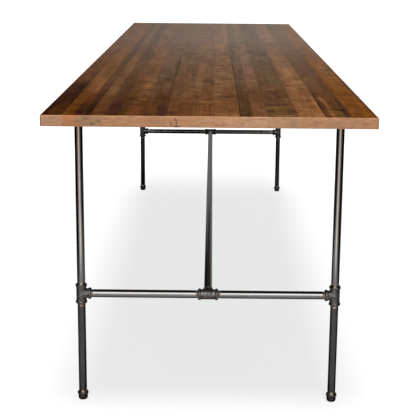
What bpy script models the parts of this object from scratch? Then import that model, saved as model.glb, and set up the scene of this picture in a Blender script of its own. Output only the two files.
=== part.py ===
"""Butcher block table: glued wood staves on a frame of threaded iron pipe.

Units are metres, +Z is up, and the origin is on the floor under the middle of the table.
+Y runs along the table's length and +X across its width. "front" is the -Y end, "left" is -X.
The top is edge-glued from full-length staves. Two H-shaped end frames stand under it, each
built from pipes, tees and caps, and a long stretcher pipe ties their centre tees together.
Floor flanges and wood screws hold the legs to the underside of the top.
"""

import math

import bmesh
import bpy
from mathutils import Matrix, Vector

# Table top
TOP_LENGTH = 3.658
TOP_HEIGHT = 1.0255
TOP_THICKNESS = 0.034
STAVE_WIDTHS = (0.064, 0.056, 0.027, 0.038, 0.040, 0.077, 0.066, 0.077,
                0.065, 0.075, 0.041, 0.041, 0.091, 0.077, 0.081, 0.075)
TOP_WIDTH = sum(STAVE_WIDTHS)
TOP_ARRIS = 0.0028
ARRIS = 0.0015
GAP = 0.0003

# Frame layout
LEG_INSET_X = 0.0735
LEG_INSET_Y = 0.301
RAIL_HEIGHT = 0.3762

# 3/4 inch pipe and its taper thread
PIPE_RADIUS = 0.02667 / 2
PIPE_BORE_RADIUS = 0.02093 / 2
THREAD_LENGTH = 0.020
THREAD_ENGAGED = 0.012
THREAD_ROOT_RADIUS = 0.01315
THREAD_TIP_RADIUS = 0.01255
THREAD_RUNOUT = 0.0010

# Malleable iron fittings
TEE_REACH = 0.0333
BAND_RADIUS = 0.0386 / 2
BAND_LENGTH = 0.0090
BAND_ROUND = 0.0018
BODY_RADIUS = 0.0328 / 2
BRANCH_RADIUS = BODY_RADIUS - GAP
PASSAGE_RADIUS = 0.0118
SOCKET_DEPTH = THREAD_ENGAGED + 0.0015
CAP_HEIGHT = 0.0275
CAP_BAND_RADIUS = 0.0366 / 2
CAP_BODY_RADIUS = 0.0318 / 2
CAP_FLAT_RADIUS = 0.0105
CAP_DOME_HEIGHT = 0.0075

# Floor flange and its screws
FLANGE_RADIUS = 0.089 / 2
FLANGE_THICKNESS = 0.0075
FLANGE_HEIGHT = 0.0190
HUB_RADIUS = 0.0180
HUB_FOOT_RADIUS = 0.0205
SCREW_CIRCLE_RADIUS = 0.0325
SCREW_HOLE_RADIUS = 0.0034
SCREWS_PER_FLANGE = 4
SCREW_RADIUS = 0.0027
SCREW_HEAD_RADIUS = 0.0052
SCREW_HEAD_HEIGHT = 0.0034
SCREW_BITE = 0.0190
SCREW_POINT = 0.0050

# Smoothness of the turned pieces
PIPE_STEPS = 16
SCREW_STEPS = 8

LEG_X = TOP_WIDTH / 2 - LEG_INSET_X
LEG_Y = TOP_LENGTH / 2 - LEG_INSET_Y
UNDERSIDE = TOP_HEIGHT - TOP_THICKNESS
FLANGE_TOP = UNDERSIDE - GAP
FLANGE_BOTTOM = FLANGE_TOP - FLANGE_HEIGHT
SIDES = (("left", -1), ("right", 1))
ENDS = (("front", -1), ("back", 1))

# Colour, roughness and metallic value of each piece's material
STAVE_COLOURS = {
    "dark": (0.075, 0.030, 0.014),
    "amber": (0.160, 0.072, 0.022),
    "mid": (0.150, 0.075, 0.038),
    "plum": (0.085, 0.046, 0.032),
    "tan": (0.190, 0.098, 0.050),
    "grey": (0.100, 0.065, 0.042),
}
STAVE_TONES = ("dark", "amber", "plum", "mid", "plum", "mid", "mid", "tan",
               "mid", "tan", "plum", "mid", "grey", "tan", "grey", "amber")
PIPE_COLOUR = (0.050, 0.049, 0.050)
FITTING_COLOUR = (0.060, 0.055, 0.052)
SCREW_COLOUR = (0.045, 0.045, 0.048)


def clear_scene():
    for old in list(bpy.data.objects):
        bpy.data.objects.remove(old, do_unlink=True)


def new_collection(name):
    group = bpy.data.collections.new(name)
    bpy.context.scene.collection.children.link(group)
    return group


def make_material(name, colour, roughness, metallic):
    material = bpy.data.materials.new(name)
    material.use_nodes = True
    shader = material.node_tree.nodes["Principled BSDF"]
    shader.inputs["Base Color"].default_value = (*colour, 1.0)
    shader.inputs["Roughness"].default_value = roughness
    shader.inputs["Metallic"].default_value = metallic
    material.diffuse_color = (*colour, 1.0)
    return material


def add_object(name, mesh, group):
    piece = bpy.data.objects.new(name, mesh)
    group.objects.link(piece)
    return piece


def turned(name, profile, steps, group, closed=False):
    """A profile of (radius, height) points, turned about Z by a Screw modifier."""
    mesh = bpy.data.meshes.new(name)
    outline = bmesh.new()
    verts = [outline.verts.new((radius, 0.0, height)) for radius, height in profile]
    for first, second in zip(verts, verts[1:]):
        outline.edges.new((first, second))
    if closed:
        outline.edges.new((verts[-1], verts[0]))
    outline.to_mesh(mesh)
    outline.free()
    piece = add_object(name, mesh, group)
    turn = piece.modifiers.new("turn", "SCREW")
    turn.axis = "Z"
    turn.angle = math.tau
    turn.steps = steps
    turn.render_steps = steps
    turn.use_merge_vertices = True
    turn.merge_threshold = 0.00001
    turn.use_smooth_shade = True
    return piece


def as_mesh(piece):
    """Replace a piece's modifiers by the mesh that they make."""
    bpy.context.view_layer.update()
    evaluated = piece.evaluated_get(bpy.context.evaluated_depsgraph_get())
    mesh = bpy.data.meshes.new_from_object(evaluated)
    piece.modifiers.clear()
    piece.data = mesh
    return piece


def join_by(operation, piece, tool):
    cut = piece.modifiers.new(operation.lower(), "BOOLEAN")
    cut.operation = operation
    cut.object = tool
    cut.solver = "EXACT"


def hide_tool(tool):
    tool.hide_render = True
    tool.display_type = "WIRE"
    return tool


def place(piece, location, turn=None):
    piece.location = Vector(location)
    if turn is not None:
        piece.rotation_euler = turn
    return piece


def shade(piece, angle=35.0):
    piece.data.shade_smooth()
    piece.data.set_sharp_from_angle(angle=math.radians(angle))


# --- pipes -----------------------------------------------------------------------------------

def pipe_profile(length):
    """Closed section of a pipe along Z with a taper thread's blank at both ends."""
    half = length / 2
    shoulder = half - THREAD_LENGTH
    outer = [
        (THREAD_TIP_RADIUS, half),
        (THREAD_ROOT_RADIUS, shoulder),
        (PIPE_RADIUS, shoulder - THREAD_RUNOUT),
    ]
    mirrored = [(radius, -height) for radius, height in reversed(outer)]
    bore = [(PIPE_BORE_RADIUS, -half), (PIPE_BORE_RADIUS, half)]
    return bore + outer + mirrored


def make_pipe(name, start, end, group, material):
    """A pipe between two end points that lie inside their fittings."""
    start, end = Vector(start), Vector(end)
    run = end - start
    pipe = turned(name, pipe_profile(run.length), PIPE_STEPS, group, closed=True)
    pipe.data.materials.append(material)
    turn = run.to_track_quat("Z", "Y").to_euler()
    place(pipe, (start + end) / 2, turn)
    return pipe


# --- fittings --------------------------------------------------------------------------------

def thread_radius(depth):
    """Radius of a pipe's taper at a distance in from its tip."""
    share = depth / THREAD_LENGTH
    return THREAD_TIP_RADIUS + (THREAD_ROOT_RADIUS - THREAD_TIP_RADIUS) * share


SOCKET_MOUTH_RADIUS = thread_radius(THREAD_ENGAGED) + GAP
SOCKET_FLOOR_RADIUS = thread_radius(0.0) + GAP


def band(top, radius, body_radius):
    """Outer side of a rounded band whose mouth is at height `top`."""
    return [
        (radius - BAND_ROUND, top),
        (radius, top - BAND_ROUND),
        (radius, top - BAND_LENGTH + BAND_ROUND),
        (body_radius, top - BAND_LENGTH),
    ]


def tee_blank(name, both_ends, body_radius, group):
    """Solid outside of a tee's run, or of its branch from the middle outwards."""
    upper = band(TEE_REACH, BAND_RADIUS, body_radius)
    if both_ends:
        lower = [(radius, -height) for radius, height in reversed(upper)]
    else:
        lower = [(body_radius, 0.0)]
    profile = [(0.0, TEE_REACH)] + upper + lower + [(0.0, lower[-1][1])]
    return as_mesh(turned(name, profile, PIPE_STEPS, group))


def socket_cutter(name, both_ends, group):
    """Hollow of a tee's run or branch: tapered sockets and the passage between them."""
    mouth = TEE_REACH + GAP
    floor = TEE_REACH - SOCKET_DEPTH
    upper = [
        (SOCKET_MOUTH_RADIUS, mouth),
        (SOCKET_FLOOR_RADIUS, floor),
        (PASSAGE_RADIUS, floor),
    ]
    if both_ends:
        lower = [(radius, -height) for radius, height in reversed(upper)]
    else:
        lower = [(PASSAGE_RADIUS, 0.0)]
    profile = [(0.0, mouth)] + upper + lower + [(0.0, lower[-1][1])]
    return as_mesh(turned(name, profile, PIPE_STEPS, group))


def make_tee_mesh(group):
    """One tee with its run along Z and its branch along +X, shared by every tee."""
    tee = tee_blank("tee_run", True, BODY_RADIUS, group)
    branch = tee_blank("tee_branch", False, BRANCH_RADIUS, group)
    run_hollow = socket_cutter("tee_run_hollow", True, group)
    branch_hollow = socket_cutter("tee_branch_hollow", False, group)
    for part in (branch, branch_hollow):
        part.rotation_euler = (0.0, math.pi / 2, 0.0)
    for operation, tool in (("UNION", branch), ("DIFFERENCE", run_hollow),
                            ("DIFFERENCE", branch_hollow)):
        join_by(operation, tee, hide_tool(tool))
    as_mesh(tee)
    mesh = tee.data
    bpy.data.objects.remove(tee, do_unlink=True)
    return mesh


def make_tee(name, mesh, centre, run, branch, group, material):
    """A tee at its centre, its run and its branch along the directions given."""
    tee = add_object(name, mesh.copy(), group)
    tee.data.materials.append(material)
    run, branch = Vector(run), Vector(branch)
    side = run.cross(branch)
    axes = Matrix((branch, side, run)).transposed()
    place(tee, centre, axes.to_euler())
    shade(tee)
    return tee


def make_cap(name, location, group, material):
    """A foot: a beaded pipe cap, mouth up, with a small flat under its dome."""
    floor = CAP_HEIGHT - SOCKET_DEPTH
    inside = [(0.0, floor), (SOCKET_FLOOR_RADIUS, floor), (SOCKET_MOUTH_RADIUS, CAP_HEIGHT)]
    rise = CAP_BODY_RADIUS - CAP_FLAT_RADIUS
    dome = []
    for angle in (0.0, 30.0, 60.0):
        bend = math.radians(angle)
        dome.append((CAP_FLAT_RADIUS + rise * math.cos(bend),
                     CAP_DOME_HEIGHT * (1.0 - math.sin(bend))))
    outside = band(CAP_HEIGHT, CAP_BAND_RADIUS, CAP_BODY_RADIUS)
    profile = inside + outside + dome + [(CAP_FLAT_RADIUS, 0.0), (0.0, 0.0)]
    cap = turned(name, profile, PIPE_STEPS, group)
    cap.data.materials.append(material)
    return place(cap, location)


def screw_spots():
    """The screws' places around a flange's axis, on its diagonals."""
    spots = []
    for index in range(SCREWS_PER_FLANGE):
        angle = math.tau * (index + 0.5) / SCREWS_PER_FLANGE
        spots.append(Vector((math.cos(angle), math.sin(angle), 0.0)) * SCREW_CIRCLE_RADIUS)
    return spots


def make_flange_mesh(parts, tools):
    """A floor flange, face up at height 0, hub and threaded bore below it."""
    profile = [
        (SOCKET_MOUTH_RADIUS, -FLANGE_HEIGHT),
        (SOCKET_FLOOR_RADIUS, -FLANGE_HEIGHT + SOCKET_DEPTH),
        (SOCKET_FLOOR_RADIUS, 0.0),
        (FLANGE_RADIUS - ARRIS, 0.0),
        (FLANGE_RADIUS, -ARRIS),
        (FLANGE_RADIUS, -FLANGE_THICKNESS),
        (HUB_FOOT_RADIUS, -FLANGE_THICKNESS),
        (HUB_RADIUS, -FLANGE_HEIGHT),
    ]
    flange = as_mesh(turned("flange_blank", profile, PIPE_STEPS, parts, closed=True))
    for spot in screw_spots():
        drill_end = FLANGE_THICKNESS + GAP
        drill = turned("flange_drill", [
            (0.0, GAP), (SCREW_HOLE_RADIUS, GAP),
            (SCREW_HOLE_RADIUS, -drill_end), (0.0, -drill_end),
        ], SCREW_STEPS, tools)
        as_mesh(drill)
        place(hide_tool(drill), spot)
        join_by("DIFFERENCE", flange, drill)
    as_mesh(flange)
    mesh = flange.data
    bpy.data.objects.remove(flange, do_unlink=True)
    return mesh


def make_flange(name, mesh, location, group, material):
    flange = add_object(name, mesh.copy(), group)
    flange.data.materials.append(material)
    place(flange, location)
    shade(flange)
    return flange


def make_screw(name, location, group, material):
    """A wood screw, point up; height 0 is the underside of its head's flange."""
    reach = FLANGE_THICKNESS + GAP + SCREW_BITE
    profile = [
        (0.0, reach),
        (SCREW_RADIUS, reach - SCREW_POINT),
        (SCREW_RADIUS, -GAP),
        (SCREW_HEAD_RADIUS, -GAP),
        (SCREW_HEAD_RADIUS, -GAP - SCREW_HEAD_HEIGHT * 0.35),
        (SCREW_HEAD_RADIUS * 0.72, -GAP - SCREW_HEAD_HEIGHT * 0.85),
        (0.0, -GAP - SCREW_HEAD_HEIGHT),
    ]
    screw = turned(name, profile, SCREW_STEPS, group)
    screw.data.materials.append(material)
    return place(screw, location)


# --- top -------------------------------------------------------------------------------------

def soften_outer_edges(block, half_size, centre):
    """Chamfer the edges that lie on two outer faces of the whole top."""
    reach = 2 * GAP

    def outer_faces(vert):
        found = set()
        for axis in range(3):
            offset = vert.co[axis] + centre[axis]
            if abs(abs(offset) - half_size[axis]) < reach:
                found.add((axis, offset > 0))
        return found

    edges = []
    for edge in block.edges:
        shared = outer_faces(edge.verts[0]) & outer_faces(edge.verts[1])
        if len(shared) >= 2:
            edges.append(edge)
    bmesh.ops.bevel(block, geom=edges, offset=TOP_ARRIS, offset_type="OFFSET", segments=1,
                    affect="EDGES", profile=0.5)


def make_stave(index, low_x, width, group, material):
    """One glued stave, full length, with half a seam's gap along each glued side."""
    left = low_x + (GAP / 2 if index > 0 else 0.0)
    right = low_x + width - (GAP / 2 if index < len(STAVE_WIDTHS) - 1 else 0.0)
    centre = Vector(((left + right) / 2, 0.0, TOP_HEIGHT - TOP_THICKNESS / 2))
    size = Vector((right - left, TOP_LENGTH, TOP_THICKNESS))
    block = bmesh.new()
    bmesh.ops.create_cube(block, size=1.0)
    bmesh.ops.scale(block, vec=size, verts=block.verts)
    half_size = Vector((TOP_WIDTH, TOP_LENGTH, TOP_THICKNESS)) / 2
    soften_outer_edges(block, half_size, Vector((centre.x, 0.0, 0.0)))
    name = f"top_stave_{index + 1:02d}"
    mesh = bpy.data.meshes.new(name)
    block.to_mesh(mesh)
    block.free()
    mesh.materials.append(material)
    stave = add_object(name, mesh, group)
    place(stave, centre)
    return stave


def drill_pilots(staves, tools):
    """Blind pilot holes for the flange screws, in the staves that they enter."""
    radius = SCREW_RADIUS + GAP
    depth = SCREW_BITE + 2 * GAP
    for end, sign_y in ENDS:
        for side, sign_x in SIDES:
            for spot in screw_spots():
                place_of_hole = Vector((sign_x * LEG_X, sign_y * LEG_Y, UNDERSIDE)) + spot
                drill = turned(f"pilot_drill_{end}_{side}", [
                    (0.0, depth), (radius, depth), (radius, -ARRIS), (0.0, -ARRIS),
                ], SCREW_STEPS, tools)
                as_mesh(drill)
                place(hide_tool(drill), place_of_hole)
                for stave in staves:
                    reach = stave.dimensions.x / 2 + radius
                    if abs(stave.location.x - place_of_hole.x) < reach:
                        join_by("DIFFERENCE", stave, drill)


def build_top(parts, tools):
    low_x = -TOP_WIDTH / 2
    staves = []
    for index, (width, tone) in enumerate(zip(STAVE_WIDTHS, STAVE_TONES)):
        material = make_material(f"wood_{index + 1:02d}", STAVE_COLOURS[tone], 0.45, 0.0)
        staves.append(make_stave(index, low_x, width, parts, material))
        low_x += width
    bpy.context.view_layer.update()
    drill_pilots(staves, tools)


def build_frame(parts, tools):
    tee_mesh = make_tee_mesh(tools)
    flange_mesh = make_flange_mesh(parts, tools)
    inner = TEE_REACH - THREAD_ENGAGED

    def metal(name, colour=FITTING_COLOUR, roughness=0.55):
        return make_material(name, colour, roughness, 0.9)

    def pipe(name, start, end):
        make_pipe(name, start, end, parts, metal(name, PIPE_COLOUR, 0.32))

    for end, sign_y in ENDS:
        y = sign_y * LEG_Y
        for side, sign_x in SIDES:
            x = sign_x * LEG_X
            tag = f"{end}_{side}"
            leg_top = FLANGE_BOTTOM + THREAD_ENGAGED
            leg_foot = CAP_HEIGHT - THREAD_ENGAGED
            pipe(f"upper_leg_{tag}", (x, y, RAIL_HEIGHT + inner), (x, y, leg_top))
            pipe(f"lower_leg_{tag}", (x, y, leg_foot), (x, y, RAIL_HEIGHT - inner))
            pipe(f"crossbar_{tag}", (sign_x * inner, y, RAIL_HEIGHT),
                 (x - sign_x * inner, y, RAIL_HEIGHT))
            make_tee(f"leg_tee_{tag}", tee_mesh, (x, y, RAIL_HEIGHT), (0, 0, 1),
                     (-sign_x, 0, 0), parts, metal(f"leg_tee_{tag}"))
            make_cap(f"foot_cap_{tag}", (x, y, 0.0), parts, metal(f"foot_cap_{tag}"))
            make_flange(f"floor_flange_{tag}", flange_mesh, (x, y, FLANGE_TOP), parts,
                        metal(f"floor_flange_{tag}"))
            seat = Vector((x, y, FLANGE_TOP - FLANGE_THICKNESS))
            for number, spot in enumerate(screw_spots(), start=1):
                name = f"flange_screw_{tag}_{number}"
                make_screw(name, seat + spot, parts, metal(name, SCREW_COLOUR, 0.35))
        make_tee(f"centre_tee_{end}", tee_mesh, (0.0, y, RAIL_HEIGHT), (1, 0, 0),
                 (0, -sign_y, 0), parts, metal(f"centre_tee_{end}"))
    pipe("stretcher", (0.0, -LEG_Y + inner, RAIL_HEIGHT), (0.0, LEG_Y - inner, RAIL_HEIGHT))


def main():
    clear_scene()
    parts = new_collection("butcher_block_table")
    tools = new_collection("cutters")
    build_top(parts, tools)
    build_frame(parts, tools)


main()
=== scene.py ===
import math

import bmesh
import bpy
import numpy as np
from mathutils import Matrix, Vector


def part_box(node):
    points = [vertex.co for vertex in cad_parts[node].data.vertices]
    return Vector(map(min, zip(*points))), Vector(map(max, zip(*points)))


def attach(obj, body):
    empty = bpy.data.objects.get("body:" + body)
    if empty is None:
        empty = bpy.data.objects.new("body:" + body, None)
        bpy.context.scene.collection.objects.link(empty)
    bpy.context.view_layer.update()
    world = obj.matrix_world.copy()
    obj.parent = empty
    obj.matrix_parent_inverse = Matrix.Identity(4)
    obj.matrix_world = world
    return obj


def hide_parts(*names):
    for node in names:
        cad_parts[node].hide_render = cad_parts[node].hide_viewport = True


# A butcher block table: sixteen glued staves on a frame of threaded iron pipe.
# Lengths are in metres. +Z is up, +Y runs along the table away from the camera.

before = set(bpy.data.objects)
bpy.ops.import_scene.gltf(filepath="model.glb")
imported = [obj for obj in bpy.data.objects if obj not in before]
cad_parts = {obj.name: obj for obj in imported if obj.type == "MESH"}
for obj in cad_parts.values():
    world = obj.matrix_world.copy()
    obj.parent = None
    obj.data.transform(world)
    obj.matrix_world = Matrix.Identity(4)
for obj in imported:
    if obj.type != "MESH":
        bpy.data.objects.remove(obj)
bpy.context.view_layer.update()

ENDS = ("front", "back")
SIDES = ("left", "right")
CORNERS = [f"{end}_{side}" for end in ENDS for side in SIDES]

# 3/4 inch pipe and its taper thread
PIPE_RADIUS = 0.02667 / 2
BORE_RADIUS = 0.02093 / 2
THREAD_PITCH = 0.0254 / 14
THREAD_LENGTH = 0.0205
THREAD_HIDDEN = 0.0095
THREAD_CREST = 0.01318
THREAD_ROOT = 0.0127
THREAD_FADE = 0.0045
THREAD_STEEPNESS = 1.25
THREAD_CREST_SHARE = 0.12
THREAD_TAPER = 0.0003
THREAD_TIP_SHARE = 0.9
THREAD_RUNOUT = 0.0006

# Malleable iron fittings
TEE_REACH = 0.0333
BAND_RADIUS = 0.0193
BAND_LENGTH = 0.0096
BODY_RADIUS = 0.0168
BRANCH_RADIUS = 0.0166
MOUTH_RADIUS = 0.01355
MOUTH_TAPER = 0.0004
MOUTH_CHAMFER = 0.0014
PASSAGE_RADIUS = 0.0118
SOCKET_DEPTH = 0.0135
CASTING_VOXEL = 0.0008

# How far a cutting tool passes the surface that it cuts
CUT_PAST = 0.001

CAP_BAND_RADIUS = 0.0183
CAP_BODY_RADIUS = 0.0158
CAP_FLAT_RADIUS = 0.01
CAP_DOME_HEIGHT = 0.0085

FLANGE_RADIUS = 0.0445
FLANGE_THICKNESS = 0.0075
FLANGE_HEIGHT = 0.019
FLANGE_EDGE = 0.0012
FLANGE_RIM = ((0.0, 0.0022), (0.0007, 0.0007), (0.0024, 0.0))
FLANGE_HUB_RADIUS = 0.0182
FLANGE_HUB_FILLET = 0.0045

SCREWS_PER_FLANGE = 4
SCREW_CIRCLE = 0.0325
SCREW_HOLE = 0.0034
SCREW_RADIUS = 0.0027
SCREW_HEAD = 0.0052
SCREW_HEAD_HEIGHT = 0.0034
SCREW_HEAD_EDGE = 0.001
SCREW_RECESS = (0.0052, 0.001, 0.0036)
SCREW_TWIST = 0.7

# The screw's point: radius, and depth below the tip
SCREW_POINT = ((0.0, 0.0), (0.0008, 0.0014), (SCREW_RADIUS, 0.0052))

ARRIS = 0.0028
SEAM = 0.00004

# Radius of the smallest ring of a turned mesh, which is then welded into a point
POLE_RADIUS = 1e-6


# --- node and mesh helpers ---

def set_inputs(tree, node, inputs):
    """Links or sets a node's inputs, from a dictionary of sockets and plain values."""
    for key, value in inputs.items():
        if isinstance(value, bpy.types.NodeSocket):
            tree.links.new(value, node.inputs[key])
        else:
            node.inputs[key].default_value = value


def add_node(tree, kind, inputs=None, **settings):
    node = tree.nodes.new(kind)
    for name, value in settings.items():
        setattr(node, name, value)
    set_inputs(tree, node, inputs or {})
    return node


def calc(tree, operation, first, second=0.0):
    node = add_node(tree, "ShaderNodeMath", {0: first, 1: second}, operation=operation)
    return node.outputs[0]


def product(tree, *factors):
    total = factors[0]
    for factor in factors[1:]:
        total = calc(tree, "MULTIPLY", total, factor)
    return total


def blend(tree, first, second, share):
    """First and second in the proportions share and 1 - share."""
    return calc(tree, "ADD", product(tree, first, share), product(tree, second, 1 - share))


def centred(tree, field, reach):
    """A field that averages 0.5, moved to average 0 and multiplied by reach."""
    return product(tree, calc(tree, "SUBTRACT", field, 0.5), reach)


def mixed(tree, share, first, second):
    """Blends two colours: all first at share 0, all second at share 1."""
    node = add_node(tree, "ShaderNodeMix", {0: share, 6: first, 7: second}, data_type="RGBA")
    return node.outputs[2]


def stretched(tree, vector, scale=(1, 1, 1), offset=(0, 0, 0)):
    node = add_node(tree, "ShaderNodeMapping",
                    {"Vector": vector, "Location": offset, "Scale": scale})
    return node.outputs[0]


def parts_of(tree, scale=1.0):
    """X, Y and Z of the shaded point, in metres times the scale."""
    place = add_node(tree, "ShaderNodeTexCoord").outputs["Object"]
    return add_node(tree, "ShaderNodeSeparateXYZ",
                    {0: stretched(tree, place, (scale,) * 3)}).outputs


def noise(tree, vector, scale=1.0, detail=3.0, roughness=0.5):
    node = add_node(tree, "ShaderNodeTexNoise",
                    {"Vector": vector, "Scale": scale, "Detail": detail,
                     "Roughness": roughness})
    return node.outputs[0]


def eased(tree, value, low, high, out_low=0.0, out_high=1.0):
    """Goes smoothly from out_low, where value is low, to out_high, where it is high."""
    node = add_node(tree, "ShaderNodeMapRange",
                    {"Value": value, "From Min": low, "From Max": high,
                     "To Min": out_low, "To Max": out_high},
                    interpolation_type="SMOOTHSTEP")
    return node.outputs[0]


def ramp(tree, value, stops):
    node = add_node(tree, "ShaderNodeValToRGB", {0: value})
    elements = node.color_ramp.elements
    while len(elements) < len(stops):
        elements.new(0.5)
    for element, (position, colour) in zip(elements, stops):
        element.position = position
        element.color = (*colour, 1.0)
    return node.outputs[0]


def new_material(name):
    material = bpy.data.materials.new(name)
    material.use_nodes = True
    tree = material.node_tree
    shader = tree.nodes["Principled BSDF"]
    place = add_node(tree, "ShaderNodeTexCoord").outputs["Object"]
    return material, tree, shader, place


def set_bump(tree, shader, height, distance):
    bump = add_node(tree, "ShaderNodeBump",
                    {"Strength": 1.0, "Distance": distance, "Height": height})
    tree.links.new(bump.outputs[0], shader.inputs["Normal"])


def new_object(name, data):
    item = bpy.data.objects.new(name, data)
    bpy.context.scene.collection.objects.link(item)
    return item


def add_piece(name, mesh, finishes, node):
    """A mesh with its materials that stands for one CAD node."""
    for finish in finishes:
        mesh.materials.append(finish)
    piece = new_object(name, mesh)
    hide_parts(node)
    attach(piece, "root")


def smooth(mesh, angle):
    """Shades smoothly, but keeps an edge sharp where it turns by more than the angle."""
    mesh.shade_smooth()
    mesh.set_sharp_from_angle(angle=math.radians(angle))


def rings_mesh(name, rings, closed):
    """Joins rings of equal point count into a surface. closed joins the last to the first."""
    count = len(rings[0])
    points = np.concatenate(rings)
    faces = []
    last = len(rings) if closed else len(rings) - 1
    for ring in range(last):
        here = ring * count
        there = ((ring + 1) % len(rings)) * count
        for step in range(count):
            after = (step + 1) % count
            faces.append((here + step, here + after, there + after, there + step))
    mesh = bpy.data.meshes.new(name)
    mesh.from_pydata(points.tolist(), [], faces)
    return mesh


def face_outward(mesh, weld=None):
    """Turns the faces outward, after joining points closer together than weld."""
    work = bmesh.new()
    work.from_mesh(mesh)
    if weld is not None:
        bmesh.ops.remove_doubles(work, verts=work.verts, dist=weld)
    bmesh.ops.recalc_face_normals(work, faces=work.faces)
    work.to_mesh(mesh)
    work.free()


def circle(radius, height, steps):
    angle = np.linspace(0.0, math.tau, steps, endpoint=False)
    radius = np.broadcast_to(radius, angle.shape)
    return np.stack([radius * np.cos(angle), radius * np.sin(angle),
                     np.full(steps, height)], axis=1)


def turned_mesh(name, profile, steps, closed=False):
    """A (radius, height) profile turned about Z, its outer side running top to bottom."""
    rings = [circle(max(radius, POLE_RADIUS), height, steps) for radius, height in profile]
    mesh = rings_mesh(name, rings[::-1], closed)
    face_outward(mesh, POLE_RADIUS * 10)
    return mesh


def combined(mesh, steps):
    """Puts boolean steps on a mesh. Returns the working object and the steps' tools."""
    base = new_object("work", mesh)
    helpers = []
    for operation, tool_mesh, matrix in steps:
        tool = new_object("tool", tool_mesh)
        tool.matrix_world = matrix
        tool.hide_render = True
        helpers.append(tool)
        join = base.modifiers.new(operation, "BOOLEAN")
        join.operation = operation
        join.solver = "EXACT"
        join.object = tool
    return base, helpers


def baked(base, helpers):
    """The mesh that a working object's modifiers make. Removes the object and its tools."""
    bpy.context.view_layer.update()
    graph = bpy.context.evaluated_depsgraph_get()
    mesh = bpy.data.meshes.new_from_object(base.evaluated_get(graph))
    for old in [base, *helpers]:
        bpy.data.objects.remove(old, do_unlink=True)
    return mesh


# --- wood ---

# Stain of each stave, left to right: at the near end, then over the rest of its length
STAINS = (
    ((0.025, 0.002, 0.0002), (0.11, 0.038, 0.009)),
    ((0.086, 0.016, 0.0005), (0.132, 0.052, 0.013)),
    ((0.049, 0.015, 0.003), (0.078, 0.034, 0.01)),
    ((0.08, 0.026, 0.006), (0.12, 0.051, 0.017)),
    ((0.043, 0.012, 0.003), (0.083, 0.039, 0.013)),
    ((0.066, 0.023, 0.003), (0.135, 0.058, 0.02)),
    ((0.072, 0.025, 0.006), (0.112, 0.056, 0.024)),
    ((0.097, 0.036, 0.01), (0.124, 0.059, 0.025)),
    ((0.131, 0.052, 0.016), (0.138, 0.064, 0.026)),
    ((0.134, 0.054, 0.018), (0.163, 0.077, 0.031)),
    ((0.078, 0.032, 0.01), (0.115, 0.06, 0.028)),
    ((0.11, 0.044, 0.015), (0.149, 0.074, 0.036)),
    ((0.103, 0.045, 0.017), (0.104, 0.052, 0.02)),
    ((0.195, 0.08, 0.026), (0.16, 0.071, 0.028)),
    ((0.094, 0.032, 0.007), (0.11, 0.047, 0.016)),
    ((0.131, 0.04, 0.004), (0.152, 0.051, 0.003)),
)
STAIN_CHANGE = (-1.54, -0.96)
STAIN_WANDER = 1.45
WARM_TINT = (0.135, 0.04, 0.01)
OILY_TINT = (0.075, 0.04, 0.015)
TINT_SHARE = 0.22

BURNT = (0.012, 0.004, 0.0015)
PLUM = (0.034, 0.012, 0.007)
COCOA = (0.05, 0.02, 0.008)
RUSSET = (0.112, 0.03, 0.009)
GOLD = (0.092, 0.031, 0.0015)
HONEY = (0.2, 0.088, 0.022)
OLIVE = (0.115, 0.062, 0.014)
SAND = (0.18, 0.092, 0.04)

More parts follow.
